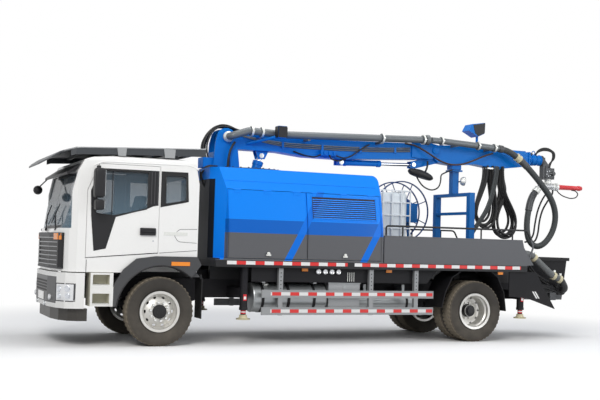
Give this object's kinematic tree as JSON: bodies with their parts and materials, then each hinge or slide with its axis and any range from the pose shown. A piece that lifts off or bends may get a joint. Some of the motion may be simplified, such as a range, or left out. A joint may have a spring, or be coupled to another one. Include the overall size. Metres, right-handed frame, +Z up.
{
  "type": "shotcrete truck",
  "caption": "Cab-over truck with a slewing, folding concrete-spraying boom, rear concrete pump, additive tank, hose reel and jacks.",
  "frame": {"origin": "on the ground under the middle of the whole machine's bounding box", "axes": "+X points forward, +Y to the vehicle's left, +Z up"},
  "size_m": [10.67, 2.88, 4.01],
  "materials": {
    "chassis_grey": "satin",
    "cast_iron": "matt",
    "cab_white": "gloss",
    "glass": "clear",
    "cabin_trim": "matt",
    "black_plastic": "matt",
    "bumper_grey": "satin",
    "canopy_grey": "satin",
    "tank_grey": "satin",
    "panel_grey": "satin",
    "panel_blue": "gloss",
    "tote_white": "satin",
    "bright_steel": "brushed",
    "black_steel": "satin",
    "pump_grey": "satin",
    "boom_blue": "gloss",
    "chrome": "polished",
    "hose_rubber": "matt",
    "tyre": "matt",
    "rim_silver": "satin"
  },
  "bodies": {
    "chassis": {"chassis_frame": "chassis_grey", "front_axle": "chassis_grey", "rear_axle": "chassis_grey", "engine_and_power_pack": "cast_iron", "cab_shell": "cab_white", "cab_glass": "glass", "cab_interior": "cabin_trim", "nose_trim": "black_plastic", "bumper": "cab_white", "arches_and_steps": "bumper_grey", "roof_canopy": "canopy_grey", "chassis_tanks": "tank_grey", "deck": "panel_grey", "enclosure": "panel_blue", "liquid_tank": "tote_white", "tank_cage": "bright_steel", "deck_stands": "boom_blue", "concrete_pump": "pump_grey", "pump_pipe": "pump_grey", "guards_and_skirts": "black_steel"},
    "knuckle_left": {"knuckle_left": "chassis_grey"},
    "front_wheel_left": {"front_tyre_left": "tyre", "front_rim_left": "rim_silver"},
    "rear_wheels_left": {"rear_tyres_left": "tyre", "rear_rims_left": "rim_silver"},
    "cab_door_left": {"cab_door_left": "cab_white", "door_glass_left": "glass", "mirror_left": "black_plastic"},
    "service_door_front_left": {"service_door_front_left": "panel_blue"},
    "jack_front_left": {"jack_front_left": "black_steel"},
    "service_door_rear_left": {"service_door_rear_left": "panel_blue"},
    "jack_rear_left": {"jack_rear_left": "black_steel"},
    "knuckle_right": {"knuckle_right": "chassis_grey"},
    "front_wheel_right": {"front_tyre_right": "tyre", "front_rim_right": "rim_silver"},
    "rear_wheels_right": {"rear_tyres_right": "tyre", "rear_rims_right": "rim_silver"},
    "cab_door_right": {"cab_door_right": "cab_white", "door_glass_right": "glass", "mirror_right": "black_plastic"},
    "service_door_front_right": {"service_door_front_right": "panel_blue"},
    "jack_front_right": {"jack_front_right": "black_steel"},
    "service_door_rear_right": {"service_door_rear_right": "panel_blue"},
    "jack_rear_right": {"jack_rear_right": "black_steel"},
    "hose_reel": {"hose_reel": "boom_blue"},
    "turret": {"turret": "boom_blue"},
    "lift_barrel": {"lift_barrel": "boom_blue"},
    "lift_rod": {"lift_rod": "chrome"},
    "main_boom": {"main_boom": "boom_blue", "boom_pipe": "pump_grey"},
    "fold_barrel": {"fold_barrel": "boom_blue"},
    "fold_rod": {"fold_rod": "chrome"},
    "second_arm": {"second_arm": "boom_blue", "arm_pipe": "pump_grey", "delivery_hose": "hose_rubber", "arm_hoses_front": "hose_rubber", "arm_hoses_rear": "hose_rubber"},
    "inner_arm": {"inner_arm": "boom_blue"},
    "head": {"head": "black_steel"},
    "nozzle": {"nozzle": "pump_grey"}
  },
  "joints": [
    {"name": "steer_left", "type": "hinge", "parent": "chassis", "child": "knuckle_left", "pos_m": [3.535, 0.8, 0.5275], "axis": [0, 0, 1], "range_deg": [-35, 35]},
    {"name": "front_wheel_spin_left", "type": "hinge", "parent": "knuckle_left", "child": "front_wheel_left", "pos_m": [3.535, 1.015, 0.5275], "axis": [0, 1, 0], "continuous": true},
    {"name": "rear_wheels_spin_left", "type": "hinge", "parent": "chassis", "child": "rear_wheels_left", "pos_m": [-2.135, 0.86, 0.5275], "axis": [0, 1, 0], "continuous": true},
    {"name": "cab_door_left", "type": "hinge", "parent": "chassis", "child": "cab_door_left", "pos_m": [4.7, 1.15, 1.9], "axis": [0, 0, -1], "range_deg": [0, 70]},
    {"name": "service_door_front_left", "type": "hinge", "parent": "chassis", "child": "service_door_front_left", "pos_m": [1.821, 1.103, 2.453], "axis": [1, 0, 0], "range_deg": [0, 80]},
    {"name": "service_door_rear_left", "type": "hinge", "parent": "chassis", "child": "service_door_rear_left", "pos_m": [0.466, 1.103, 2.453], "axis": [1, 0, 0], "range_deg": [0, 80]},
    {"name": "jack_front_left", "type": "slide", "parent": "chassis", "child": "jack_front_left", "axis": [0, 0, -1], "range_m": [0, 0.4]},
    {"name": "jack_rear_left", "type": "slide", "parent": "chassis", "child": "jack_rear_left", "axis": [0, 0, -1], "range_m": [0, 0.4]},
    {"name": "steer_right", "type": "hinge", "parent": "chassis", "child": "knuckle_right", "pos_m": [3.535, -0.8, 0.5275], "axis": [0, 0, 1], "range_deg": [-35, 35]},
    {"name": "front_wheel_spin_right", "type": "hinge", "parent": "knuckle_right", "child": "front_wheel_right", "pos_m": [3.535, -1.015, 0.5275], "axis": [0, 1, 0], "continuous": true},
    {"name": "rear_wheels_spin_right", "type": "hinge", "parent": "chassis", "child": "rear_wheels_right", "pos_m": [-2.135, -0.86, 0.5275], "axis": [0, 1, 0], "continuous": true},
    {"name": "cab_door_right", "type": "hinge", "parent": "chassis", "child": "cab_door_right", "pos_m": [4.7, -1.15, 1.9], "axis": [0, 0, 1], "range_deg": [0, 70]},
    {"name": "service_door_front_right", "type": "hinge", "parent": "chassis", "child": "service_door_front_right", "pos_m": [1.821, -1.103, 2.453], "axis": [-1, 0, 0], "range_deg": [0, 80]},
    {"name": "service_door_rear_right", "type": "hinge", "parent": "chassis", "child": "service_door_rear_right", "pos_m": [0.466, -1.103, 2.453], "axis": [-1, 0, 0], "range_deg": [0, 80]},
    {"name": "jack_front_right", "type": "slide", "parent": "chassis", "child": "jack_front_right", "axis": [0, 0, -1], "range_m": [0, 0.4]},
    {"name": "jack_rear_right", "type": "slide", "parent": "chassis", "child": "jack_rear_right", "axis": [0, 0, -1], "range_m": [0, 0.4]},
    {"name": "hose_reel_spin", "type": "hinge", "parent": "chassis", "child": "hose_reel", "pos_m": [-1.715, -0.965, 2.3], "axis": [0, 1, 0], "continuous": true},
    {"name": "slew", "type": "hinge", "parent": "chassis", "child": "turret", "pos_m": [1.855, 0, 2.8], "axis": [0, 0, 1], "range_deg": [-180, 180]},
    {"name": "lift", "type": "hinge", "parent": "turret", "child": "main_boom", "pos_m": [2.205, 0, 3.38], "axis": [0, 1, 0], "range_deg": [0, 60]},
    {"name": "lift_barrel_turn", "type": "hinge", "parent": "turret", "child": "lift_barrel", "pos_m": [1.819, 0, 2.16], "axis": [0, 1, 0], "range_deg": [-0.5, 10.46]},
    {"name": "lift_rod_slide", "type": "slide", "parent": "lift_barrel", "child": "lift_rod", "axis": [-0.2771, 0, 0.9608], "range_m": [0, 0.6794]},
    {"name": "fold", "type": "hinge", "parent": "main_boom", "child": "second_arm", "pos_m": [-1.865, 0, 3.42], "axis": [0, 1, 0], "range_deg": [0, 60]},
    {"name": "fold_barrel_turn", "type": "hinge", "parent": "main_boom", "child": "fold_barrel", "pos_m": [0.035, 0, 3.085], "axis": [0, 1, 0], "range_deg": [-7.36, 0.5]},
    {"name": "fold_rod_slide", "type": "slide", "parent": "fold_barrel", "child": "fold_rod", "axis": [-0.9995, 0, 0.0304], "range_m": [0, 0.4702]},
    {"name": "extend", "type": "slide", "parent": "second_arm", "child": "inner_arm", "axis": [-1, 0, 0], "range_m": [0, 1.2], "deforming": ["delivery_hose"]},
    {"name": "head_turn", "type": "hinge", "parent": "inner_arm", "child": "head", "pos_m": [-4.315, 0, 3.38], "axis": [1, 0, 0], "range_deg": [-180, 180], "deforming": ["delivery_hose"]},
    {"name": "nozzle_swing", "type": "hinge", "parent": "head", "child": "nozzle", "pos_m": [-4.515, 0, 2.88], "axis": [0, 0, 1], "range_deg": [-110, 110], "deforming": ["delivery_hose"]}
  ],
  "couplings": [
    {"joint": "lift_barrel_turn", "follows": "lift", "ratio": 0.16603},
    {"joint": "lift_rod_slide", "follows": "lift", "m_per_rad": 0.64684},
    {"joint": "fold_barrel_turn", "follows": "fold", "ratio": -0.11426},
    {"joint": "fold_rod_slide", "follows": "fold", "m_per_rad": 0.44712},
    {"joint": "steer_right", "follows": "steer_left", "ratio": 1}
  ]
}
